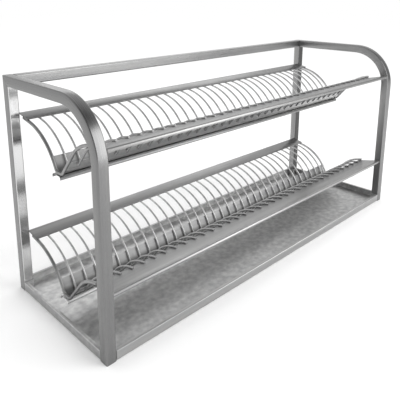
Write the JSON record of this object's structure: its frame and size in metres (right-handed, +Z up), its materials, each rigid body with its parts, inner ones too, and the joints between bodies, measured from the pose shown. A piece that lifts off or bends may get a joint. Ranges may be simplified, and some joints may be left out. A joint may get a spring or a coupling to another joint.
{
  "type": "dish drying shelf",
  "caption": "Free-standing tiered stainless steel shelf with rows of bent wires that hold plates upright over a gutter, side frames of bent square tube and a drip tray as its base",
  "frame": {"origin": "the middle of the shelf's footprint, on the surface it stands on", "axes": "+X along the shelf from its left side to its right, +Y from the front to the back, +Z up"},
  "size_m": [1.2, 0.39, 0.555],
  "materials": {
    "tube_steel": "brushed along the tube",
    "tray_steel": "brushed along the tray",
    "sheet_steel": "fine brushed, along the shelf",
    "wire_steel": "drawn rod, satin"
  },
  "bodies": {
    "root": {"left_front_tube": "tube_steel", "left_rear_post": "tube_steel", "right_front_tube": "tube_steel", "right_rear_post": "tube_steel", "top_rear_rail": "tube_steel", "left_front_foot_plate": "tube_steel", "right_front_foot_plate": "tube_steel", "left_rear_foot_plate": "tube_steel", "right_rear_foot_plate": "tube_steel", "drip_tray": "tray_steel", "upper_front_plate": "sheet_steel", "upper_rear_strip": "sheet_steel", "upper_gutter": "sheet_steel", "upper_carrier": "sheet_steel", "upper_left_end_rod": "wire_steel", "upper_right_end_rod": "wire_steel", "lower_front_plate": "sheet_steel", "lower_rear_strip": "sheet_steel", "lower_gutter": "sheet_steel", "lower_carrier": "sheet_steel", "lower_left_end_rod": "wire_steel", "lower_right_end_rod": "wire_steel"}
  },
  "joints": []
}
